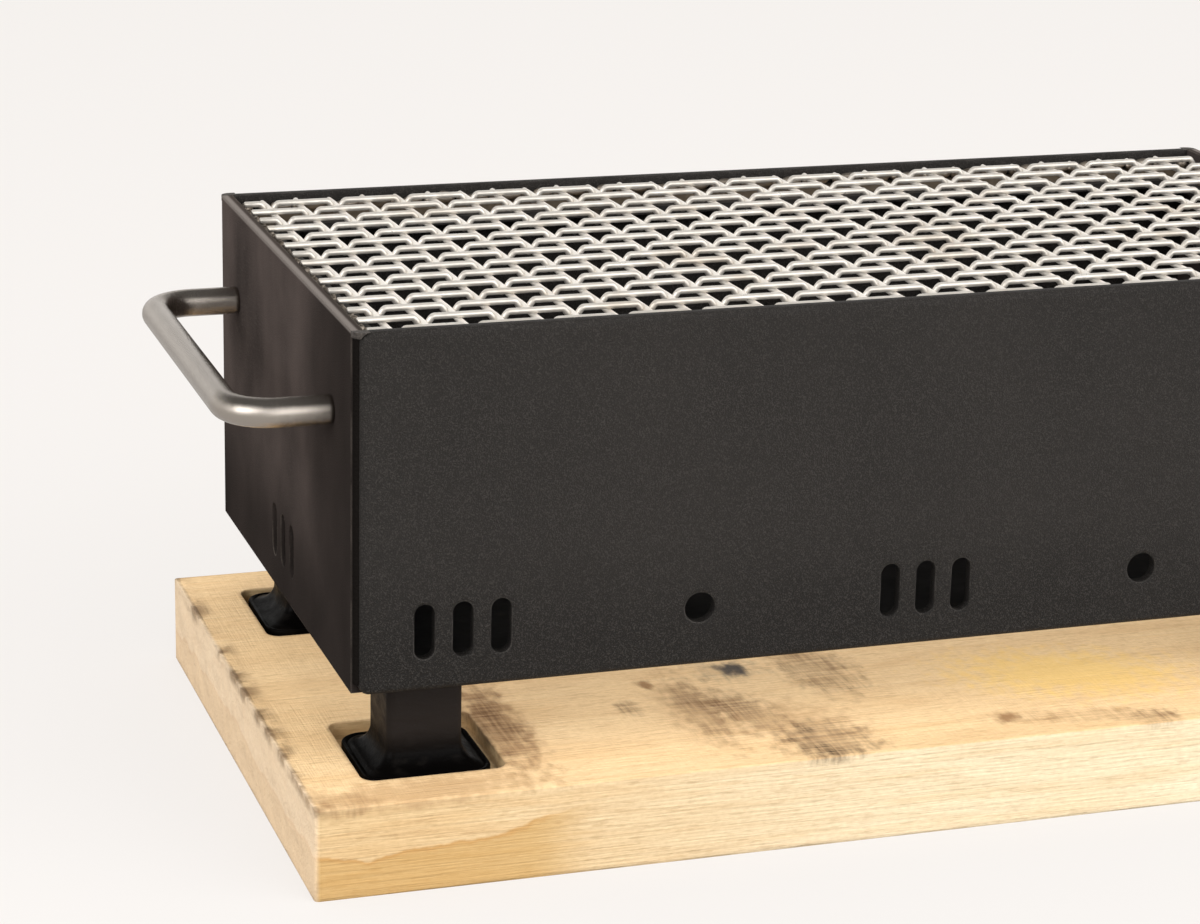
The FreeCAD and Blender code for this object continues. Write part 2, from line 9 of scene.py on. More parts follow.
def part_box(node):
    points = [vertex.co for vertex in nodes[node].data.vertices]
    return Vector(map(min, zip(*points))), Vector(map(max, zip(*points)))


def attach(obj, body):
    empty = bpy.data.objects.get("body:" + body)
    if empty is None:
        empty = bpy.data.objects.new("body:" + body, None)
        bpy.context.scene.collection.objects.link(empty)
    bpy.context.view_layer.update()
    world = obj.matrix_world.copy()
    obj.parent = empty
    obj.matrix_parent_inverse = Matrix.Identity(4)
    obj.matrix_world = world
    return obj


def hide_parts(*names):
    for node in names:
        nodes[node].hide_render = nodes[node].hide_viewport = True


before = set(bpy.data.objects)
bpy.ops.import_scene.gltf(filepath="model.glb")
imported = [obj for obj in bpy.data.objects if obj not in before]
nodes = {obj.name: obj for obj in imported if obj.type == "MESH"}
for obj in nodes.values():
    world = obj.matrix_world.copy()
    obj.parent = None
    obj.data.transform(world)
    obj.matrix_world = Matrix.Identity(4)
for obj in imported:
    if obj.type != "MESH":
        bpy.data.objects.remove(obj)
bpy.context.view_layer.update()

# ---------------------------------------------------------------- table, camera and lights
# A seamless pale tabletop under broad soft lights, seen from the front left a little above the rim.
# This is only the studio round the object, and none of it belongs to the grill.

MM = 0.001
front_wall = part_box("front_panel")
end_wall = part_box("left_end_panel")
firebox_corner = Vector((end_wall[0].x, front_wall[0].y, front_wall[0].z))


def shader(tree, kind, links=None, **values):
    """Add one node; values set its properties or sockets by name, links join its sockets to outputs."""
    made = tree.nodes.new("ShaderNode" + kind)
    for key, value in values.items():
        if hasattr(made, key):
            setattr(made, key, value)
        else:
            made.inputs[key.replace("_", " ")].default_value = value
    for key, output in (links or {}).items():
        tree.links.new(output, made.inputs[key])
    return made


def new_material(name):
    """An empty material: its tree, its Principled shader and its Object coordinates."""
    material = bpy.data.materials.new(name)
    material.use_nodes = True
    tree = material.node_tree
    tree.nodes.clear()
    surface = shader(tree, "BsdfPrincipled")
    output = shader(tree, "OutputMaterial")
    tree.links.new(surface.outputs["BSDF"], output.inputs["Surface"])
    place = shader(tree, "TexCoord").outputs["Object"]
    return material, tree, surface, place


def make_camera():
    """A long lens about a metre away, a little above the rim, aimed slightly down at the near corner."""
    lens, yaw, pitch, roll = 99.25, 0.323, 0.302, 0.024
    ahead = Vector((math.sin(yaw) * math.cos(pitch), math.cos(yaw) * math.cos(pitch), -math.sin(pitch)))
    across = Vector((math.cos(yaw), -math.sin(yaw), 0))
    above = across.cross(ahead)
    right = across * math.cos(roll) + above * math.sin(roll)
    top = above * math.cos(roll) - across * math.sin(roll)
    camera = bpy.data.objects.new("camera", bpy.data.cameras.new("camera"))
    camera.data.lens = lens
    camera.data.sensor_width = 36
    camera.data.clip_start = 0.05
    stand = firebox_corner + Vector((-243.56, -973.11, 393.56)) * MM
    turn = Matrix((right, top, -ahead)).transposed().to_4x4()
    camera.matrix_world = Matrix.Translation(stand) @ turn
    bpy.context.scene.collection.objects.link(camera)
    bpy.context.scene.camera = camera


def make_lamp(name, kind, energy, place, aim, **settings):
    """A lamp at a place, turned to face a point."""
    lamp = bpy.data.lights.new(name, kind)
    lamp.energy = energy
    for key, value in settings.items():
        setattr(lamp, key, value)
    holder = bpy.data.objects.new(name, lamp)
    way = Vector(aim) - Vector(place)
    holder.rotation_euler = way.to_track_quat("-Z", "Y").to_euler()
    holder.location = place
    bpy.context.scene.collection.objects.link(holder)
    return holder


def make_stage():
    """A wide flat sheet of warm white paper lit from below, brighter to the eye than to the object."""
    side = 12.0
    corners = [(-side, -side, 0), (side, -side, 0), (side, side, 0), (-side, side, 0)]
    mesh = bpy.data.meshes.new("tabletop")
    mesh.from_pydata(corners, [], [(0, 1, 2, 3)])
    floor = bpy.data.objects.new("tabletop", mesh)
    bpy.context.scene.collection.objects.link(floor)
    paper, tree, surface = new_material("warm_white_paper")[:3]
    surface.inputs["Base Color"].default_value = (0.16, 0.155, 0.15, 1)
    surface.inputs["Roughness"].default_value = 0.9
    surface.inputs["Specular IOR Level"].default_value = 0.0
    surface.inputs["Emission Color"].default_value = (1.0, 0.965, 0.935, 1)
    seen = shader(tree, "LightPath").outputs["Is Camera Ray"]
    glow = shader(tree, "MapRange", {"Value": seen})
    glow.inputs["To Min"].default_value = 0.42
    glow.inputs["To Max"].default_value = 0.72
    tree.links.new(glow.outputs["Result"], surface.inputs["Emission Strength"])
    mesh.materials.append(paper)


def make_light():
    """A soft white surround that polished metal sees as dark overhead, a broad low key from the front
    right, a fill from the left, a top light and a faint lamp for what the board throws up underneath."""
    world = bpy.data.worlds.new("studio")
    world.use_nodes = True
    sky = world.node_tree.nodes["Background"]
    sky.inputs["Color"].default_value = (1.0, 0.985, 0.965, 1)
    tree = world.node_tree
    upward = shader(tree, "SeparateXYZ", {0: shader(tree, "TexCoord").outputs["Generated"]}).outputs["Z"]
    mirrored = shader(tree, "MapRange", {"Value": upward}, interpolation_type="SMOOTHSTEP")
    for key, number in (("From Min", 0.36), ("From Max", 0.58), ("To Min", 0.98), ("To Max", 0.16)):
        mirrored.inputs[key].default_value = number
    glossy_ray = shader(tree, "LightPath").outputs["Is Glossy Ray"]
    strength = shader(tree, "Mix", {0: glossy_ray, 3: mirrored.outputs["Result"]})
    strength.inputs[2].default_value = 0.60
    tree.links.new(strength.outputs[0], sky.inputs["Strength"])
    bpy.context.scene.world = world
    top_light = make_lamp("overhead", "SUN", 1.5, (-0.3, 0.3, 2.2), (0, 0, 0), angle=math.radians(95))
    top_light.visible_glossy = False
    broad = {"shape": "RECTANGLE", "size": 3.2, "size_y": 2.0}
    make_lamp("front_right_box", "AREA", 44.0, (1.15, -1.75, 1.1), (0, 0, 0.06), **broad)
    bounce = make_lamp("front_right_bounce", "AREA", 18.0, (1.15, -1.8, 1.1), (0, 0, 0.06), **broad)
    bounce.visible_glossy = False
    make_lamp("left_box", "AREA", 18.0, (-1.7, -0.9, 0.95), (0, 0, 0.08),
              shape="RECTANGLE", size=1.3, size_y=1.0)
    gap = make_lamp("bounce_in_the_gap", "AREA", 0.15, (0, -0.01, 0.0625), (0, -0.01, 0),
                    shape="RECTANGLE", size=0.37, size_y=0.17)
    gap.visible_camera = False
    gap.visible_glossy = False


bpy.context.scene.view_settings.view_transform = "Standard"
make_camera()
make_stage()
make_light()

# ---------------------------------------------------------------- board
# One thick plank of pale softwood, sawn to length and left unplaned at the ends, with four shallow
# pockets routed into its top for the feet. The top carries old blue-black and brown stain marks and a
# darker brown band beside the front left pocket, and is painted lighter than the sides: painted light.

board_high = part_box("base_board")[1]
board_top = board_high.z
board_end = board_high.x


def noise_group():
    """Node group: one noise on stretched coordinates, recentred to run from 0 to 1 with more contrast."""
    group = bpy.data.node_groups.new("stretched_noise", "ShaderNodeTree")
    face = group.interface
    face.new_socket("Vector", in_out="INPUT", socket_type="NodeSocketVector")
    face.new_socket("Stretch", in_out="INPUT", socket_type="NodeSocketVector")
    for name, value in (("Scale", 10.0), ("Detail", 3.0), ("Contrast", 1.0)):
        face.new_socket(name, in_out="INPUT", socket_type="NodeSocketFloat").default_value = value
    face.new_socket("Value", in_out="OUTPUT", socket_type="NodeSocketFloat")
    entry = group.nodes.new("NodeGroupInput").outputs
    leave = group.nodes.new("NodeGroupOutput")
    spread = shader(group, "VectorMath", {0: entry["Vector"], 1: entry["Stretch"]}, operation="MULTIPLY")
    noise = shader(group, "TexNoise",
                   {"Vector": spread.outputs[0], "Scale": entry["Scale"], "Detail": entry["Detail"]})
    centred = shader(group, "Math", {0: noise.outputs["Fac"]}, operation="SUBTRACT")
    centred.inputs[1].default_value = 0.5
    steep = shader(group, "Math", {0: centred.outputs[0], 1: entry["Contrast"]},
                   operation="MULTIPLY_ADD", use_clamp=True)
    steep.inputs[2].default_value = 0.5
    group.links.new(steep.outputs[0], leave.inputs["Value"])
    return group


STRETCHED_NOISE = noise_group()


def noise(tree, place, stretch, scale, detail=3.0, contrast=1.0):
    """Place the stretched noise group and return its value from 0 to 1."""
    made = tree.nodes.new("ShaderNodeGroup")
    made.node_tree = STRETCHED_NOISE
    tree.links.new(place, made.inputs["Vector"])
    made.inputs["Stretch"].default_value = stretch
    made.inputs["Scale"].default_value = scale
    made.inputs["Detail"].default_value = detail
    made.inputs["Contrast"].default_value = contrast
    return made.outputs["Value"]


def mix(tree, amount, first, second, blend="MIX"):
    """Mix two colours, given as outputs or plain colours, by an output or a number."""
    made = shader(tree, "Mix", data_type="RGBA", blend_type=blend)
    for socket, value in ((made.inputs[0], amount), (made.inputs[6], first), (made.inputs[7], second)):
        if isinstance(value, bpy.types.NodeSocket):
            tree.links.new(value, socket)
        elif isinstance(value, tuple):
            socket.default_value = (*value, 1)
        else:
            socket.default_value = value
    return made.outputs[2]


def arithmetic(tree, operation, first, second=0.0, third=0.0, clamp=False):
    """One Math node on outputs or numbers."""
    made = shader(tree, "Math", operation=operation, use_clamp=clamp)
    for socket, value in zip(made.inputs, (first, second, third)):
        if isinstance(value, bpy.types.NodeSocket):
            tree.links.new(value, socket)
        else:
            socket.default_value = value
    return made.outputs[0]


def ramp(tree, value, low, high, out_low=0.0, out_high=1.0):
    """Smooth step of a value between two limits."""
    made = shader(tree, "MapRange", {"Value": value}, interpolation_type="SMOOTHSTEP")
    for key, number in (("From Min", low), ("From Max", high), ("To Min", out_low), ("To Max", out_high)):
        made.inputs[key].default_value = number
    return made.outputs["Result"]


def tinted(tree, colour, mask, strength, tint):
    """Lay a tint over a colour, as strongly as a mask times a number."""
    return mix(tree, arithmetic(tree, "MULTIPLY", mask, strength), colour, tint)


def bump(tree, surface, height, distance, strength=1.0, before=None):
    """Feed a height into the surface's normal, on top of an earlier bump."""
    made = shader(tree, "Bump", {"Height": height}, Distance=distance, Strength=strength)
    if before:
        tree.links.new(before, made.inputs["Normal"])
    tree.links.new(made.outputs["Normal"], surface.inputs["Normal"])
    return made.outputs["Normal"]


def mark_mask(tree, place, middle, reach, turn, ragged):
    """Mask of one mark: 1 within a turned ellipse round a point on the board's top, with a ragged edge."""
    spot = shader(tree, "Mapping", {"Vector": place}, vector_type="TEXTURE")
    spot.inputs["Location"].default_value = (*middle, board_top)
    spot.inputs["Rotation"].default_value = (0, 0, turn)
    spot.inputs["Scale"].default_value = (*reach, 0.004)
    length = shader(tree, "VectorMath", {0: spot.outputs[0]}, operation="LENGTH").outputs["Value"]
    edge = arithmetic(tree, "MULTIPLY_ADD", ragged, 0.7, length)
    return ramp(tree, edge, 1.60, 0.65)


def golden_heart(tree, axes, place):
    """Masks of the darker heartwood low on the left of the front, and of the rim of its wavy upper edge."""
    rim_width = 0.0026
    past = arithmetic(tree, "ADD", axes["X"], 0.19)
    climb = arithmetic(tree, "MULTIPLY", arithmetic(tree, "MAXIMUM", past, 0.0), past)
    waves = noise(tree, place, (1.0, 1.0, 1.0), 34.0, 9.0, 2.8)
    edge = arithmetic(tree, "MULTIPLY_ADD", climb, 2.6, 0.0124)
    edge = arithmetic(tree, "MULTIPLY_ADD", waves, 0.0058, edge)
    below = arithmetic(tree, "SUBTRACT", edge, axes["Z"])
    fade = ramp(tree, axes["X"], -0.118, -0.145)
    inside = arithmetic(tree, "MULTIPLY", ramp(tree, below, 0.0, 0.0012), fade)
    near_edge = ramp(tree, arithmetic(tree, "SUBTRACT", rim_width, below), 0.0, rim_width)
    rim = arithmetic(tree, "MULTIPLY", near_edge, fade)
    rim = arithmetic(tree, "MULTIPLY", rim, inside)
    return inside, rim


BROWN = (0.150, 0.076, 0.032)
BLACK = (0.060, 0.036, 0.020)
BLUE = (0.040, 0.042, 0.050)
KNOT = (0.24, 0.125, 0.052)
YELLOW = (0.86, 0.60, 0.17)
TAN = (0.44, 0.28, 0.145)
# each mark: middle, half length and half width, turn, tint, strength and whether it is a soft wash
BOARD_MARKS = (
    # the first two make a darker brown band right of the front left pocket, running back under the firebox
    ((-0.1385, -0.060), (0.0120, 0.050), 0.0, TAN, 0.75, True),
    ((-0.1395, -0.058), (0.0100, 0.048), 0.0, BROWN, 0.95, False),
    ((-0.068, -0.064), (0.0150, 0.040), 0.0, TAN, 0.40, True),
    ((-0.067, -0.062), (0.0090, 0.038), 0.0, BROWN, 0.75, False),
    ((-0.0425, -0.0295), (0.0055, 0.008), 0.0, BLUE, 0.90, True),
    ((-0.045, -0.030), (0.0140, 0.012), 0.0, BLUE, 0.70, False),
    ((-0.036, -0.092), (0.0220, 0.034), 0.25, TAN, 0.50, True),
    ((-0.033, -0.103), (0.0170, 0.019), 0.25, BLACK, 1.0, False),
    ((-0.052, -0.072), (0.0120, 0.026), 0.2, BROWN, 0.85, False),
    ((-0.012, -0.038), (0.0150, 0.030), 0.1, BROWN, 0.90, False),
    ((0.0355, -0.0985), (0.0050, 0.006), 0.0, KNOT, 0.80, True),
    ((0.062, -0.104), (0.0330, 0.007), -0.15, KNOT, 0.80, False),
    ((0.086, -0.111), (0.0120, 0.009), 0.0, BROWN, 0.75, False),
    ((0.075, -0.064), (0.0480, 0.026), -0.3, YELLOW, 0.55, True),
    ((-0.090, -0.057), (0.0045, 0.007), 0.0, BROWN, 0.95, False),
    ((-0.077, -0.037), (0.0030, 0.005), 0.0, KNOT, 0.80, True),
    # these last two make a brown tone along the top front edge at the left end
    ((-0.206, -0.112), (0.0120, 0.010), 0.0, BROWN, 0.80, False),
    ((-0.178, -0.109), (0.0480, 0.013), 0.0, TAN, 0.60, True),
)


def marked_top(tree, place, colour):
    """Lay the marks over the wood: soft washes as they are, the others broken up into hatched strokes."""
    ragged = noise(tree, place, (1.6, 1.0, 1.0), 150.0, 5.0, 2.4)
    hatch = noise(tree, place, (10.0, 0.6, 1.0), 75.0, 4.0, 2.6)
    bars = noise(tree, place, (0.5, 14.0, 1.0), 75.0, 4.0, 2.6)
    hatch = arithmetic(tree, "MULTIPLY_ADD", arithmetic(tree, "ADD", hatch, bars), 0.60, 0.04, clamp=True)
    fade = noise(tree, place, (1.0, 1.0, 1.0), 55.0, 2.0, 2.6)
    hatch = arithmetic(tree, "MULTIPLY", hatch, arithmetic(tree, "MULTIPLY_ADD", fade, 0.7, 0.42), clamp=True)
    for middle, reach, turn, tint, strength, soft in BOARD_MARKS:
        mask = mark_mask(tree, place, middle, reach, turn, ragged)
        mask = mask if soft else arithmetic(tree, "MULTIPLY", mask, hatch)
        colour = tinted(tree, colour, mask, strength, tint)
    return colour


def board_material():
    """Softwood: faint rings, fine fibres along X, saw marks, golden heart, pale ends, stains and marks on
    top,
    and painted light: the top painted lighter than the sides.
    """
    wood, tree, surface, place = new_material("pale_softwood")
    wander = noise(tree, place, (1.2, 6.0, 6.0), 3.0, 2.0, 1.6)
    axes = shader(tree, "SeparateXYZ", {0: place}).outputs
    off_pith = shader(tree, "CombineXYZ", {"Y": axes["Y"], "Z": arithmetic(tree, "ADD", axes["Z"], 0.16)})
    ring = shader(tree, "VectorMath", {0: off_pith.outputs[0]}, operation="LENGTH").outputs["Value"]
    ring = arithmetic(tree, "MULTIPLY_ADD", wander, 0.035, ring)
    late_wood = ramp(tree, arithmetic(tree, "PINGPONG", ring, 0.0042), 0.0022, 0.0042)
    fibres = noise(tree, place, (1.0, 30.0, 30.0), 34.0, 5.0, 2.2)
    flecks = noise(tree, place, (1.0, 9.0, 9.0), 110.0, 4.0, 3.2)
    on_top = ramp(tree, axes["Z"], board_top - 0.8 * MM, board_top - 0.2 * MM)
    across = noise(tree, place, (22.0, 1.0, 3.0), 60.0, 3.0, 2.4)
    sawn_patches = noise(tree, place, (1.0, 1.0, 1.0), 22.0, 2.0, 3.0)
    across = arithmetic(tree, "MULTIPLY", across, arithmetic(tree, "MULTIPLY", on_top, sawn_patches))
    orange = noise(tree, place, (1.0, 12.0, 12.0), 14.0, 4.0, 3.2)
    broad = noise(tree, place, (1.0, 4.0, 4.0), 8.0, 3.0, 2.0)
    pale = mix(tree, broad, (0.86, 0.68, 0.43), (0.77, 0.56, 0.31))
    pale = tinted(tree, pale, ramp(tree, orange, 0.62, 0.95), 0.20, (0.70, 0.42, 0.17))
    # painted light: the top is made paler than the sides
    pale = tinted(tree, pale, on_top, 0.35, (0.92, 0.74, 0.50))
    colour = tinted(tree, pale, late_wood, 0.16, (0.56, 0.34, 0.15))
    colour = tinted(tree, colour, fibres, 0.24, (0.56, 0.375, 0.19))
    colour = tinted(tree, colour, ramp(tree, flecks, 0.80, 1.0), 0.28, (0.40, 0.24, 0.11))
    speckle = noise(tree, place, (0.5, 1.0, 1.0), 900.0, 3.0, 2.2)
    pores = noise(tree, place, (0.25, 1.4, 1.4), 620.0, 4.0, 3.2)
    colour = tinted(tree, colour, speckle, 0.26, (0.44, 0.27, 0.12))
    colour = tinted(tree, colour, ramp(tree, pores, 0.60, 1.0), 0.20, (0.40, 0.235, 0.10))
    colour = tinted(tree, colour, across, 0.22, (0.56, 0.39, 0.22))
    heart, heart_rim = golden_heart(tree, axes, place)
    colour = tinted(tree, colour, heart, 0.62, (0.56, 0.335, 0.10))
    colour = tinted(tree, colour, heart_rim, 0.60, (0.52, 0.25, 0.065))
    from_middle = arithmetic(tree, "ABSOLUTE", axes["X"])
    at_end = ramp(tree, from_middle, board_end - 2.0 * MM, board_end - 0.1 * MM)
    worn = noise(tree, place, (1.0, 1.0, 1.0), 70.0, 5.0, 2.6)
    colour = tinted(tree, colour, at_end, 0.60, (0.78, 0.60, 0.43))
    upper = ramp(tree, axes["Z"], board_top - 4.5 * MM, board_top - 0.2 * MM)
    leftmost = ramp(tree, axes["X"], 8.0 * MM - board_end, 1.0 * MM - board_end)
    arris = arithmetic(tree, "MULTIPLY", upper, leftmost)
    chips = arithmetic(tree, "MULTIPLY", arris, ramp(tree, worn, 0.45, 0.85))
    colour = tinted(tree, colour, chips, 0.80, (0.24, 0.145, 0.075))
    colour = marked_top(tree, place, colour)
    # painted light: the top is made lighter than the sides; the sides also run darker at the left and paler
    # toward the right, and the ends a little lighter
    rightward = ramp(tree, axes["X"], -0.20, 0.06)
    side_tone = mix(tree, rightward, (0.87, 0.83, 0.76), (1.06, 1.20, 1.44))
    tone_and_painted_top_light = mix(tree, on_top, side_tone, (1.16, 1.08, 0.97))
    tone_and_painted_top_light = mix(tree, at_end, tone_and_painted_top_light, (1.07, 1.08, 1.09))
    colour = mix(tree, 1.0, colour, tone_and_painted_top_light, "MULTIPLY")
    tree.links.new(colour, surface.inputs["Base Color"])
    surface.inputs["Specular IOR Level"].default_value = 0.22
    tree.links.new(arithmetic(tree, "MULTIPLY_ADD", fibres, 0.15, 0.62), surface.inputs["Roughness"])
    rounded = shader(tree, "Bevel", samples=6, Radius=0.0022).outputs[0]
    grain = bump(tree, surface, fibres, 0.0004, 0.6, rounded)
    sawn = bump(tree, surface, across, 0.0003, 0.5, grain)
    rough_end = arithmetic(tree, "MULTIPLY", arithmetic(tree, "ADD", at_end, arris), worn)
    bump(tree, surface, rough_end, 0.0016, 0.8, sawn)
    return wood


def finish_node(name, material):
    """Give one CAD node a material of its own."""
    slots = nodes[name].data.materials
    slots.clear()
    slots.append(material)


finish_node("base_board", board_material())

# ---------------------------------------------------------------- firebox walls, floor and corner welds
# Laser-cut 4 mm steel plate, welded at the corners and floor, then powder-coated in a fine sandy
# charcoal black. The cut edges along the end walls' rim and the weld caps there carry a painted
# highlight, and the weld grooves below them painted shade.


def edge_group():
    """Node group: 1 along sharp edges, broken up by noise, from the turn of a rounded normal."""
    group = bpy.data.node_groups.new("edge_wear", "ShaderNodeTree")
    face = group.interface
    face.new_socket("Vector", in_out="INPUT", socket_type="NodeSocketVector")
    face.new_socket("Radius", in_out="INPUT", socket_type="NodeSocketFloat").default_value = 0.001
    face.new_socket("Patch Scale", in_out="INPUT", socket_type="NodeSocketFloat").default_value = 60.0
    face.new_socket("Mask", in_out="OUTPUT", socket_type="NodeSocketFloat")
    entry = group.nodes.new("NodeGroupInput").outputs
    leave = group.nodes.new("NodeGroupOutput")
    rounded = shader(group, "Bevel", {"Radius": entry["Radius"]}, samples=4)
    flat = shader(group, "NewGeometry")
    turn = shader(group, "VectorMath", {0: rounded.outputs[0], 1: flat.outputs["Normal"]},
                  operation="DOT_PRODUCT")
    edge = ramp(group, turn.outputs["Value"], 0.995, 0.85)
    patches = shader(group, "TexNoise", {"Vector": entry["Vector"], "Scale": entry["Patch Scale"]},
                     Detail=4.0)
    broken = ramp(group, patches.outputs["Fac"], 0.38, 0.62)
    mask = shader(group, "Math", {0: edge, 1: broken}, operation="MULTIPLY")
    group.links.new(mask.outputs[0], leave.inputs["Mask"])
    return group


EDGE_WEAR = edge_group()


def edge_wear(tree, place, radius, patch_scale):
    """Place the edge wear group and return its mask from 0 to 1."""
    made = tree.nodes.new("ShaderNodeGroup")
    made.node_tree = EDGE_WEAR
    tree.links.new(place, made.inputs["Vector"])
    made.inputs["Radius"].default_value = radius
    made.inputs["Patch Scale"].default_value = patch_scale
    return made.outputs["Mask"]


def powder_coat(name, base, dusty):
    """Sandy black powder coat: grains under half a millimetre, faint cloudiness, darker low down."""
    coat, tree, surface, place = new_material(name)
    grains = noise(tree, place, (1.0, 1.0, 1.0), 2300.0, 1.0, 2.6)
    clouds = noise(tree, place, (1.0, 1.0, 0.6), 14.0, 4.0, 1.8)
    colour = mix(tree, clouds, base, dusty)
    height = shader(tree, "SeparateXYZ", {0: place}).outputs["Z"]
    colour = mix(tree, ramp(tree, height, 0.115, 0.070, 0.0, 0.70), colour, (0.0045, 0.0038, 0.0033))
    specks = ramp(tree, grains, 0.45, 1.0)
    colour = tinted(tree, colour, specks, 0.40, (0.070, 0.063, 0.057))
    worn = edge_wear(tree, place, 0.0009, 70.0)
    colour = tinted(tree, colour, worn, 0.50, (0.115, 0.104, 0.094))
    tree.links.new(colour, surface.inputs["Base Color"])
    surface.inputs["Specular IOR Level"].default_value = 0.20
    tree.links.new(arithmetic(tree, "MULTIPLY_ADD", grains, 0.18, 0.52), surface.inputs["Roughness"])
    rounded = shader(tree, "Bevel", samples=6, Radius=0.0022).outputs[0]
    bump(tree, surface, grains, 0.00022, 0.9, rounded)
    return coat


coat = powder_coat("sandy_powder_coat", (0.0112, 0.0096, 0.0084), (0.0175, 0.0149, 0.0130))
for name in ("front_panel", "rear_panel"):
    finish_node(name, coat)


def shaded_weld():
    """Coated weld metal with painted light: black down the groove, painted shade, and a mottled brown-grey
    on the cap at the rim, a painted highlight.
    """
    coat, tree, surface, place = new_material("weld_painted_shade_and_highlight")
    grains = noise(tree, place, (1.0, 1.0, 1.0), 900.0, 3.0, 2.4)
    height = shader(tree, "SeparateXYZ", {0: place}).outputs["Z"]
    cap = ramp(tree, height, 0.1836, 0.1842)
    # painted highlight: the cap at the rim top is made a lighter mottled brown-grey; painted shade: the
    # groove below stays near black
    cap_painted_highlight = mix(tree, grains, (0.022, 0.019, 0.017), (0.085, 0.073, 0.064))
    colour = mix(tree, cap, (0.0085, 0.0072, 0.0064), cap_painted_highlight)
    tree.links.new(colour, surface.inputs["Base Color"])
    tree.links.new(arithmetic(tree, "MULTIPLY", cap, 0.16), surface.inputs["Specular IOR Level"])
    surface.inputs["Roughness"].default_value = 0.6
    bump(tree, surface, grains, 0.0004, 0.8)
    return coat


finish_node("corner_welds", shaded_weld())


def browned_coat():
    """Thin coat browned by heat: cloudy patches, darker low down and toward the front, small
    pale nicks, and a painted highlight on the outer half of the rim top."""
    coat, tree, surface, place = new_material("heat_browned_coat")
    clouds = noise(tree, place, (1.0, 1.0, 0.7), 24.0, 5.0, 2.8)
    runs = noise(tree, place, (1.0, 3.0, 0.8), 40.0, 4.0, 2.0)
    grains = noise(tree, place, (1.0, 1.0, 1.0), 1500.0, 2.0, 2.2)
    nicks = noise(tree, place, (1.0, 1.0, 7.0), 210.0, 3.0, 4.0)
    colour = mix(tree, clouds, (0.0300, 0.0240, 0.0215), (0.1000, 0.0780, 0.0700))
    colour = tinted(tree, colour, runs, 0.25, (0.0680, 0.0520, 0.0470))
    colour = tinted(tree, colour, ramp(tree, nicks, 0.85, 1.0), 0.35, (0.075, 0.062, 0.055))
    colour = tinted(tree, colour, grains, 0.40, (0.085, 0.072, 0.067))
    axes = shader(tree, "SeparateXYZ", {0: place}).outputs
    low_down = ramp(tree, axes["Z"], 0.125, 0.075)
    # the coat is made darker low down and toward the front
    darker_low_and_front = arithmetic(tree, "MAXIMUM", low_down, ramp(tree, axes["Y"], 0.0, -0.08))
    colour = tinted(tree, colour, darker_low_and_front, 0.75, (0.0120, 0.0100, 0.0090))
    # painted highlight: the rim top is made light grey on its outer half, where it faces the lights; the
    # inner half stays dark brown
    outer = ramp(tree, arithmetic(tree, "ABSOLUTE", axes["X"]), 0.1972, 0.1984)
    rim_painted_highlight = mix(tree, outer, (0.045, 0.037, 0.032), (0.200, 0.176, 0.160))
    rim = arithmetic(tree, "MULTIPLY", ramp(tree, axes["Z"], 0.1846, 0.1856), 0.80)
    colour = mix(tree, rim, colour, rim_painted_highlight)
    worn = edge_wear(tree, place, 0.0009, 70.0)
    colour = tinted(tree, colour, worn, 0.65, (0.165, 0.142, 0.122))
    tree.links.new(colour, surface.inputs["Base Color"])
    surface.inputs["Specular IOR Level"].default_value = 0.0
    tree.links.new(arithmetic(tree, "MULTIPLY_ADD", clouds, -0.14, 0.62), surface.inputs["Roughness"])
    rounded = shader(tree, "Bevel", samples=6, Radius=0.0018).outputs[0]
    bump(tree, surface, grains, 0.00015, 0.8, rounded)
    return coat


end_coat = browned_coat()
for name in ("left_end_panel", "right_end_panel"):
    finish_node(name, end_coat)


def sooty_steel(name, base, soot, glow):
    """Plate that has held a fire: dark scale, matt soot patches and a few paler heat marks."""
    plate, tree, surface, place = new_material(name)
    patches = noise(tree, place, (1.0, 1.0, 1.0), 26.0, 6.0, 2.2)
    scale_marks = noise(tree, place, (1.0, 1.0, 1.0), 160.0, 4.0, 2.0)
    colour = mix(tree, patches, base, soot)
    colour = mix(tree, arithmetic(tree, "MULTIPLY", ramp(tree, scale_marks, 0.7, 1.0), 0.5), colour, glow)
    tree.links.new(colour, surface.inputs["Base Color"])
    surface.inputs["Metallic"].default_value = 0.2
    tree.links.new(arithmetic(tree, "MULTIPLY_ADD", patches, 0.25, 0.55), surface.inputs["Roughness"])
    bump(tree, surface, scale_marks, 0.0003, 0.6)
    return plate


floor_steel = sooty_steel("sooty_floor", (0.030, 0.027, 0.025), (0.015, 0.014, 0.013), (0.08, 0.065, 0.05))
finish_node("floor_panel", floor_steel)

# ---------------------------------------------------------------- ledges and rails
# Flat bar welded round the inside: four ledges for the cooking grate, two rails for the charcoal plate.
# They sit over the fire, so soot and scale have dulled them.

ledge_coat = sooty_steel("sooty_ledge", (0.035, 0.031, 0.028), (0.018, 0.016, 0.015), (0.12, 0.09, 0.06))
for name in ("grate_ledge_front", "grate_ledge_rear", "grate_ledge_left", "grate_ledge_right",
             "charcoal_rail_left", "charcoal_rail_right"):
    finish_node(name, ledge_coat)

# ---------------------------------------------------------------- handles and their fixings
# Each handle is 10 mm stainless rod bent into a D and satin-finished along its length. Its tapped
# ends butt against the end wall and are held from inside by a socket screw and a washer each.


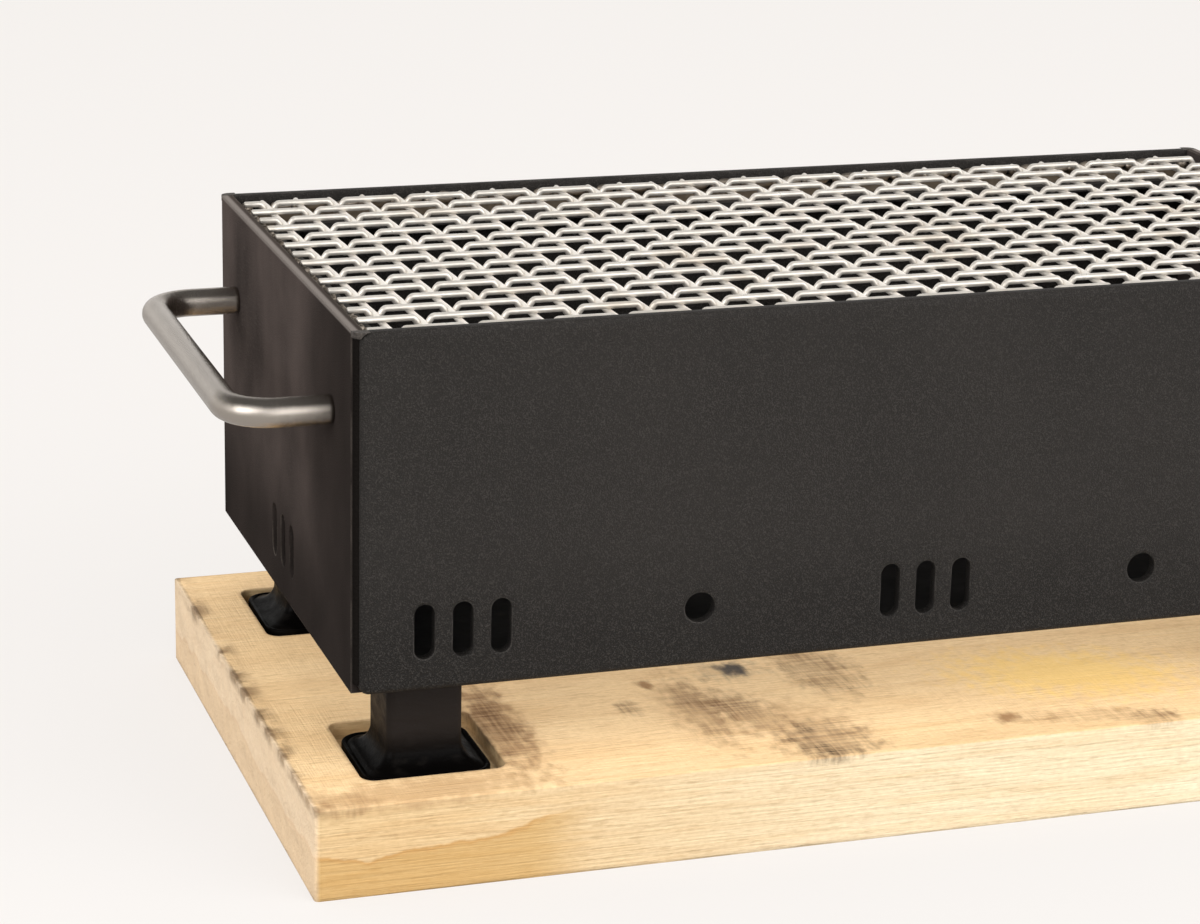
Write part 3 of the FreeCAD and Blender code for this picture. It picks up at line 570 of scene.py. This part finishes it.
def new_piece(name, points, faces, material, body, stands_for):
    """Make a smooth mesh piece from points and arrays of faces, ride it on its body and hide the CAD
    nodes it stands for."""
    mesh = bpy.data.meshes.new(name)
    mesh.from_pydata(points.tolist(), [], [corners for group in faces for corners in group.tolist()])
    mesh.polygons.foreach_set("use_smooth", np.ones(len(mesh.polygons), bool))
    mesh.update()
    piece = bpy.data.objects.new(name, mesh)
    bpy.context.scene.collection.objects.link(piece)
    mesh.materials.append(material)
    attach(piece, body)
    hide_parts(*stands_for)
    return piece


def rod_surface(path, side, radii, sides):
    """Rings round a plane path, closed at both ends.

    A point on the ring at path point P is P + r (cos a S + sin a N), where S is the unit vector
    square to the path's plane and N = T x S, with T the unit tangent. The end rings shrink to poles.
    """
    tangent = np.gradient(path, axis=0)
    tangent /= np.linalg.norm(tangent, axis=1, keepdims=True)
    normal = np.cross(tangent, side)
    angle = np.arange(sides) * 2 * np.pi / sides
    spread = np.cos(angle)[None, :, None] * side + np.sin(angle)[None, :, None] * normal[:, None, :]
    rings = path[:, None, :] + radii[:, None, None] * spread
    points = np.concatenate([rings.reshape(-1, 3), path[:1], path[-1:]])
    return points, ring_faces(len(path), sides)


def ring_faces(count, sides):
    """An array of quads between successive rings, and one of the fans from each end ring to its pole.

    The points are taken ring by ring, with the two poles last.
    """
    ring, step = np.meshgrid(np.arange(count - 1), np.arange(sides), indexing="ij")
    here, there = ring * sides + step, ring * sides + (step + 1) % sides
    quads = np.stack([here, here + sides, there + sides, there], axis=-1).reshape(-1, 4)
    around = np.arange(sides)
    first = np.stack([around, (around + 1) % sides, np.full(sides, count * sides)], axis=-1)
    last_ring = (count - 1) * sides
    last = np.stack([last_ring + (around + 1) % sides, last_ring + around,
                     np.full(sides, count * sides + 1)], axis=-1)
    return [quads, np.concatenate([first, last])]


def handle_line(sign):
    """The D's centre line: out from the wall, a quarter turn, the grip, a quarter turn and back."""
    low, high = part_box("left_handle" if sign < 0 else "right_handle")
    radius = (high.z - low.z) / 2
    wall = high.x if sign < 0 else low.x
    reach = (high.x - low.x) - radius
    half = (high.y - low.y) / 2 - radius
    bend = 15 * MM
    level = (high.z + low.z) / 2
    turn = np.linspace(0, np.pi / 2, 13)
    out = np.linspace(0, reach - bend, 24)[:-1]
    grip = np.linspace(-(half - bend), half - bend, 60)[1:-1]
    leg = np.stack([out, np.full_like(out, -half)], 1)
    corner = np.stack([reach - bend + bend * np.sin(turn), -half + bend * (1 - np.cos(turn))], 1)
    bar = np.stack([np.full_like(grip, reach), grip], 1)
    plan = np.concatenate([leg, corner, bar, (corner * (1, -1))[::-1], (leg * (1, -1))[::-1]])
    return np.stack([wall + sign * plan[:, 0], plan[:, 1], np.full(len(plan), level)], 1), radius


def satin_rod():
    """Stainless rod polished lengthwise: long fine scratches on its own UV, and slow changes of sheen."""
    steel, tree, surface, place = new_material("satin_rod")
    along = shader(tree, "UVMap", uv_map="along_rod").outputs["UV"]
    scratches = noise(tree, along, (1.0, 14.0, 1.0), 60.0, 5.0, 1.8)
    sheen = noise(tree, place, (1.0, 1.0, 1.0), 55.0, 3.0, 1.6)
    colour = mix(tree, scratches, (0.50, 0.455, 0.405), (0.37, 0.33, 0.29))
    tree.links.new(colour, surface.inputs["Base Color"])
    surface.inputs["Metallic"].default_value = 1.0
    rough = arithmetic(tree, "MULTIPLY_ADD", scratches, 0.08, 0.17)
    rough = arithmetic(tree, "MULTIPLY_ADD", sheen, 0.07, rough)
    tree.links.new(rough, surface.inputs["Roughness"])
    bump(tree, surface, scratches, 0.00004, 0.5)
    return steel


def unwrap_rod(piece, path, sides):
    """UV in centimetres: u runs along the path, v round the rod."""
    girth = 3.14
    run = np.concatenate([[0], np.cumsum(np.linalg.norm(np.diff(path, axis=0), axis=1))]) * 100
    u = np.concatenate([np.repeat(run, sides), [run[0], run[-1]]])
    v = np.concatenate([np.tile(np.arange(sides) / sides * girth, len(path)), [0, 0]])
    layer = piece.data.uv_layers.new(name="along_rod")
    corners = np.empty(len(piece.data.loops), np.int32)
    piece.data.loops.foreach_get("vertex_index", corners)
    layer.data.foreach_set("uv", np.stack([u[corners], v[corners]], 1).ravel().astype(np.float32))


rod_steel = satin_rod()
rod_sides = 28
rod_tip = 0.4 * MM
for sign, name in ((-1, "left_handle"), (1, "right_handle")):
    path, radius = handle_line(sign)
    radii = np.full(len(path), radius)
    radii[[0, -1]] = radius - rod_tip
    points, faces = rod_surface(path, np.array([0, 0, float(sign)]), radii, rod_sides)
    piece = new_piece(name + "_rod", points, faces, rod_steel, "firebox", [name])
    unwrap_rod(piece, path, rod_sides)


def plain_stainless(name, base, tint, rough):
    """Turned or cut stainless with faint mottling and a rubbed, slightly uneven sheen."""
    steel, tree, surface, place = new_material(name)
    mottle = noise(tree, place, (1.0, 1.0, 1.0), 90.0, 4.0, 2.0)
    fine = noise(tree, place, (1.0, 1.0, 1.0), 900.0, 2.0, 1.5)
    tree.links.new(mix(tree, mottle, base, tint), surface.inputs["Base Color"])
    surface.inputs["Metallic"].default_value = 1.0
    tree.links.new(arithmetic(tree, "MULTIPLY_ADD", mottle, 0.15, rough), surface.inputs["Roughness"])
    bump(tree, surface, fine, 0.00005, 0.5)
    return steel


fixing_steel = plain_stainless("bright_fixings", (0.62, 0.61, 0.59), (0.45, 0.44, 0.42), 0.28)
for name in ("handle_screws", "handle_washers"):
    finish_node(name, fixing_steel)

# ---------------------------------------------------------------- legs and rubber feet
# Square steel tube welded under the floor, each pushed into a moulded black rubber foot: a square
# sleeve that flares out to a broad flange with a raised rim, standing in the board's pocket.


def moulded_rubber():
    """Matt black rubber: fine moulding texture, faint scuffs and a paler, dustier sleeve."""
    rubber, tree, surface, place = new_material("moulded_rubber")
    scuffs = noise(tree, place, (1.0, 1.0, 2.5), 120.0, 6.0, 2.6)
    fine = noise(tree, place, (1.0, 1.0, 1.0), 1100.0, 2.0, 1.6)
    height = shader(tree, "SeparateXYZ", {0: place}).outputs["Z"]
    sleeve = ramp(tree, height, 0.034, 0.046)
    colour = mix(tree, ramp(tree, scuffs, 0.55, 0.95), (0.0016, 0.0013, 0.0012), (0.0045, 0.0037, 0.0032))
    colour = tinted(tree, colour, sleeve, 0.8, (0.0215, 0.0175, 0.0155))
    tree.links.new(colour, surface.inputs["Base Color"])
    surface.inputs["Specular IOR Level"].default_value = 0.03
    tree.links.new(arithmetic(tree, "MULTIPLY_ADD", scuffs, 0.25, 0.30), surface.inputs["Roughness"])
    soft = bump(tree, surface, scuffs, 0.0003, 0.5)
    bump(tree, surface, fine, 0.00008, 0.6, soft)
    return rubber


def square_rings(profile, middle, steps=9):
    """Rounded squares stacked in height, closed at both ends.

    Each row of the profile is (half side s, corner radius c, height z). Within a quarter turn a
    point is (s - c) q + c (cos a, sin a), where q is the quadrant's corner direction.
    """
    angle = np.linspace(0, np.pi / 2, steps)
    quarter = np.stack([np.cos(angle), np.sin(angle)], 1)
    spins = [np.array([[np.cos(a), -np.sin(a)], [np.sin(a), np.cos(a)]]) for a in np.arange(4) * np.pi / 2]
    arc = np.concatenate([quarter @ spin.T for spin in spins])
    corner = np.concatenate([np.tile(np.array([1.0, 1.0]) @ spin.T, (steps, 1)) for spin in spins])
    half, radius, height = profile.T
    flat = (half - radius)[:, None, None] * corner + radius[:, None, None] * arc
    level = np.repeat(height[:, None, None], arc.shape[0], axis=1)
    rings = np.concatenate([flat, level], axis=2) + middle
    poles = middle + np.array([[0, 0, height[0]], [0, 0, height[-1]]])
    return np.concatenate([rings.reshape(-1, 3), poles]), ring_faces(len(profile), arc.shape[0])


def foot_profile(tall):
    """Half section of the foot, from under the sole, round the flange, up the flare and into the bore."""
    flange_half, flange_corner, flange_tall = 22 * MM, 8 * MM, 5 * MM
    sleeve_half, sleeve_corner, flare = 13 * MM, 3 * MM, 7.5 * MM
    bore_half, bore_corner, sole = 10 * MM, 2.5 * MM, 4 * MM
    rim, groove = 1.1 * MM, 0.7 * MM
    flange = [
        (flange_half - 4 * MM, flange_corner - 3 * MM, 0),
        (flange_half - 1 * MM, flange_corner - 0.8 * MM, 0),
        (flange_half - 0.2 * MM, flange_corner - 0.1 * MM, 0.5 * MM),
        (flange_half, flange_corner, 1.4 * MM),
        (flange_half, flange_corner, flange_tall - 0.7 * MM),
        (flange_half - 0.15 * MM, flange_corner, flange_tall - 0.2 * MM),
        (flange_half - 0.5 * MM, flange_corner - 0.3 * MM, flange_tall),
        (flange_half - rim, flange_corner - 0.6 * MM, flange_tall - 0.1 * MM),
        (flange_half - rim - 0.3 * MM, flange_corner - 0.9 * MM, flange_tall - groove),
        (flange_half - rim - 0.9 * MM, flange_corner - 1.3 * MM, flange_tall - groove + 0.1 * MM)]
    turn = np.linspace(0.12, 1.0, 12) * np.pi / 2
    spread = 1 - np.sin(turn)
    flared = np.stack([sleeve_half + flare * spread, sleeve_corner + 3.2 * MM * spread,
                       flange_tall + flare * (1 - np.cos(turn))], 1)
    sleeve = [
        (sleeve_half, sleeve_corner, tall - 1.2 * MM),
        (sleeve_half - 0.3 * MM, sleeve_corner, tall - 0.3 * MM),
        (sleeve_half - 1.0 * MM, sleeve_corner - 0.5 * MM, tall),
        (bore_half + 0.4 * MM, bore_corner, tall),
        (bore_half + 0.05 * MM, bore_corner, tall - 0.4 * MM),
        (bore_half + 0.05 * MM, bore_corner, sole)]
    return np.concatenate([flange, flared, sleeve])


rubber = moulded_rubber()
leg_coat = powder_coat("coated_leg", (0.016, 0.014, 0.0125), (0.024, 0.021, 0.019))
for name in ("front_left", "front_right", "rear_left", "rear_right"):
    finish_node("leg_" + name, leg_coat)
    low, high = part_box("foot_" + name)
    middle = np.array([(low.x + high.x) / 2, (low.y + high.y) / 2, low.z])
    points, faces = square_rings(foot_profile(high.z - low.z), middle)
    new_piece("rubber_foot_" + name, points, faces, rubber, "firebox", ["foot_" + name])

# ---------------------------------------------------------------- charcoal plate
# A loose slotted steel plate that carries the coals; fire has scaled it dark and dull. It rests on
# the two rails and lifts out.

plate_steel = sooty_steel("scaled_plate", (0.085, 0.073, 0.064), (0.035, 0.031, 0.028), (0.20, 0.15, 0.11))
finish_node("charcoal_plate", plate_steel)

# ---------------------------------------------------------------- cooking grate
# Pre-crimped stainless wire woven one over, one under, welded to four flat bars beneath. The long
# wires take nearly all of the crimp and show long bright tops; the cross wires lie straight and duller,
# yet are given a much lighter colour than the long wires: painted light for the shade they lie in.

ROWS, CROSSES = 15, 30
long_low, long_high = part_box("grate_long_wires")
cross_low, cross_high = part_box("grate_cross_wires")
WIRE = 2.2 * MM
WIRE_TIP = 0.3 * MM
grate_level = (long_low.z + long_high.z) / 2
long_crimp = (long_high.z - long_low.z - WIRE) / 2
cross_crimp = (cross_high.z - cross_low.z - WIRE) / 2
row_places = np.linspace(long_low.y + WIRE / 2, long_high.y - WIRE / 2, ROWS)
cross_places = np.linspace(cross_low.x + WIRE / 2, cross_high.x - WIRE / 2, CROSSES)


def crimp_height(run, lowest, pitch, crimp, reach, drop):
    """Height of a crimped wire: level on top, with a smooth dip under every second crossing.

    h = crimp - drop cos^2(pi d / 2 reach), where d, held within reach, is the distance to the
    nearest dip; dips lie two pitches apart, and lowest is the place of one of them.
    """
    apart = np.abs((run - lowest + pitch) % (2 * pitch) - pitch)
    return crimp - drop * np.cos(np.pi * np.minimum(apart, reach) / (2 * reach)) ** 2


def wire_stations(low, high, lowest, pitch, reach, steps):
    """Places along a wire: low and high, just inside both, and evenly spaced steps through each dip."""
    dips = lowest + 2 * pitch * np.arange(-1, int((high - low) / pitch / 2) + 2)
    bends = (dips[:, None] + np.linspace(-reach, reach, steps)).ravel()
    ends = [low, low + WIRE_TIP, high - WIRE_TIP, high]
    return np.unique(np.clip(np.concatenate([ends, bends]), low, high))


def woven_wires(starts, first, pitch, low, high, crimp, reach, drop, dips_from, steps, sides, across):
    """All the wires that run one way, as one mesh of closed rods.

    Each wire's centre line is (run, place, level + h(run)), with run and place changed over for
    wires that run across. The first wire dips at crossing dips_from, 0 or 1, and the next at the other.
    """
    all_points, all_faces, offset = [], [], 0
    for k, place in enumerate(starts):
        lowest = first + pitch * ((k + dips_from) % 2)
        run = wire_stations(low, high, lowest, pitch, reach, steps)
        height = grate_level + crimp_height(run, lowest, pitch, crimp, reach, drop)
        line = np.stack([run, np.full(len(run), place), height], 1)
        side = np.array([0.0, 1.0, 0.0])
        if across:
            line, side = line[:, [1, 0, 2]], np.array([-1.0, 0.0, 0.0])
        radii = np.full(len(run), WIRE / 2)
        radii[[0, -1]] = WIRE / 2 - WIRE_TIP
        points, faces = rod_surface(line, side, radii, sides)
        all_points.append(points)
        all_faces += [group + offset for group in faces]
        offset += len(points)
    return np.concatenate(all_points), all_faces


def drawn_wire(name, bright, dull, rough, tan):
    """Drawn stainless wire: two greys in faint mottling, with straw-coloured heat tint in patches."""
    steel, tree, surface, place = new_material(name)
    mottle = noise(tree, place, (1.0, 1.0, 1.0), 140.0, 4.0, 2.0)
    heat = noise(tree, place, (1.0, 1.0, 1.0), 30.0, 3.0, 2.4)
    fine = noise(tree, place, (1.0, 1.0, 1.0), 1400.0, 2.0, 1.6)
    colour = mix(tree, mottle, bright, dull)
    colour = tinted(tree, colour, ramp(tree, heat, 0.55, 0.95), tan, (0.42, 0.31, 0.19))
    tree.links.new(colour, surface.inputs["Base Color"])
    surface.inputs["Metallic"].default_value = 0.5
    tree.links.new(arithmetic(tree, "MULTIPLY_ADD", mottle, 0.14, rough), surface.inputs["Roughness"])
    bump(tree, surface, fine, 0.00005, 0.5)
    return steel


row_pitch = (row_places[-1] - row_places[0]) / (ROWS - 1)
cross_pitch = (cross_places[-1] - cross_places[0]) / (CROSSES - 1)
long_reach = 3.7 * MM
long_drop = 2 * long_crimp - 0.7 * MM
points, faces = woven_wires(row_places, cross_places[0], cross_pitch, long_low.x, long_high.x,
                            long_crimp, long_reach, long_drop, 0, 21, 14, False)
# the long and cross wires are one stainless wire in two copies; the long wires get the darker colour
long_wire_darker_copy = drawn_wire("long_wire_darker_copy", (0.72, 0.68, 0.62), (0.56, 0.52, 0.465), 0.26, 0.25)
new_piece("long_wires", points, faces, long_wire_darker_copy, "cooking_grate", ["grate_long_wires"])
points, faces = woven_wires(cross_places, row_places[0], row_pitch, cross_low.y, cross_high.y,
                            cross_crimp, row_pitch, 2 * cross_crimp, 1, 17, 14, True)
# painted light: the cross wires get a much lighter colour, to lift them out of the shade under the long wires
cross_wire_painted_light = drawn_wire("cross_wire_painted_light", (0.98, 0.93, 0.86), (0.86, 0.81, 0.74), 0.45, 0.25)
new_piece("cross_wires", points, faces, cross_wire_painted_light, "cooking_grate", ["grate_cross_wires"])

bar_steel = plain_stainless("heat_tinted_bar", (0.46, 0.38, 0.29), (0.26, 0.20, 0.14), 0.45)
for name in ("grate_bar_front", "grate_bar_rear", "grate_bar_left", "grate_bar_right"):
    finish_node(name, bar_steel)


def weld_lumps(spots, sizes, rng, around=10, rise=7):
    """Lumpy beads: ellipsoids x = c + s (1 + ripple) (cos u cos v, sin u cos v, sin v), closed at the poles.

    The ripple is a sum of two waves over the unit sphere, with a random start for each bead.
    """
    tilt = np.linspace(np.pi / 2, -np.pi / 2, rise + 2)[1:-1]
    turn = np.arange(around) * 2 * np.pi / around
    v, u = np.meshgrid(tilt, turn, indexing="ij")
    unit = np.stack([np.cos(u) * np.cos(v), np.sin(u) * np.cos(v), np.sin(v)], -1).reshape(-1, 3)
    unit = np.concatenate([unit, [[0, 0, 1], [0, 0, -1]]])
    faces = [group[:, ::-1] for group in ring_faces(rise, around)]
    all_points, all_faces = [], []
    for k, (spot, size) in enumerate(zip(spots, sizes)):
        phase = rng.uniform(0, 2 * np.pi, 3)
        ripple = 1 + 0.14 * np.sin(3 * unit[:, 0] + phase[0]) * np.cos(2 * unit[:, 1] + phase[1])
        ripple += 0.08 * np.sin(5 * unit[:, 2] + phase[2])
        all_points.append(spot + unit * size * ripple[:, None])
        all_faces += [group + k * len(unit) for group in faces]
    return np.concatenate(all_points), all_faces


def bead_places(rng):
    """A bead at both ends of every wire, sitting on the bar below, and a long low one in each gap."""
    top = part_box("grate_bar_left")[1].z
    inset = 1.9 * MM
    gaps_y = (row_places[:-1] + row_places[1:]) / 2
    gaps_x = (cross_places[:-1] + cross_places[1:]) / 2
    ends = [(x, y, top) for y in row_places for x in (long_low.x + inset, long_high.x - inset)]
    ends += [(x, y, top) for x in cross_places for y in (cross_low.y + inset, cross_high.y - inset)]
    sides = [(x, y, top) for y in gaps_y for x in (long_low.x + inset, long_high.x - inset)]
    fronts = [(x, y, top) for x in gaps_x for y in (cross_low.y + inset, cross_high.y - inset)]
    spots = np.array(ends + sides + fronts)
    spots = spots + rng.uniform(-0.5, 0.5, spots.shape) * MM * (0.8, 0.8, 0.4)
    spots[:, 2] += 1.9 * MM
    shape = np.repeat([(1.9, 1.9, 2.0), (1.8, 4.9, 2.3), (4.9, 1.8, 2.1)],
                      [len(ends), len(sides), len(fronts)], axis=0)
    corners = [(x, y, top + 1.7 * MM) for x in (long_low.x + 2.6 * MM, long_high.x - 2.6 * MM)
               for y in (cross_low.y + 3.0 * MM, cross_high.y - 3.0 * MM)]
    spots, shape = np.concatenate([spots, corners]), np.concatenate([shape, np.full((4, 3), 2.6)])
    return spots, rng.uniform(0.8, 1.1, (len(spots), 3)) * shape * MM


bead_random = np.random.default_rng(7)
points, faces = weld_lumps(*bead_places(bead_random), bead_random)
bead_steel = plain_stainless("weld_metal", (0.60, 0.53, 0.45), (0.20, 0.16, 0.125), 0.46)
new_piece("wire_end_welds", points, faces, bead_steel, "cooking_grate", [])
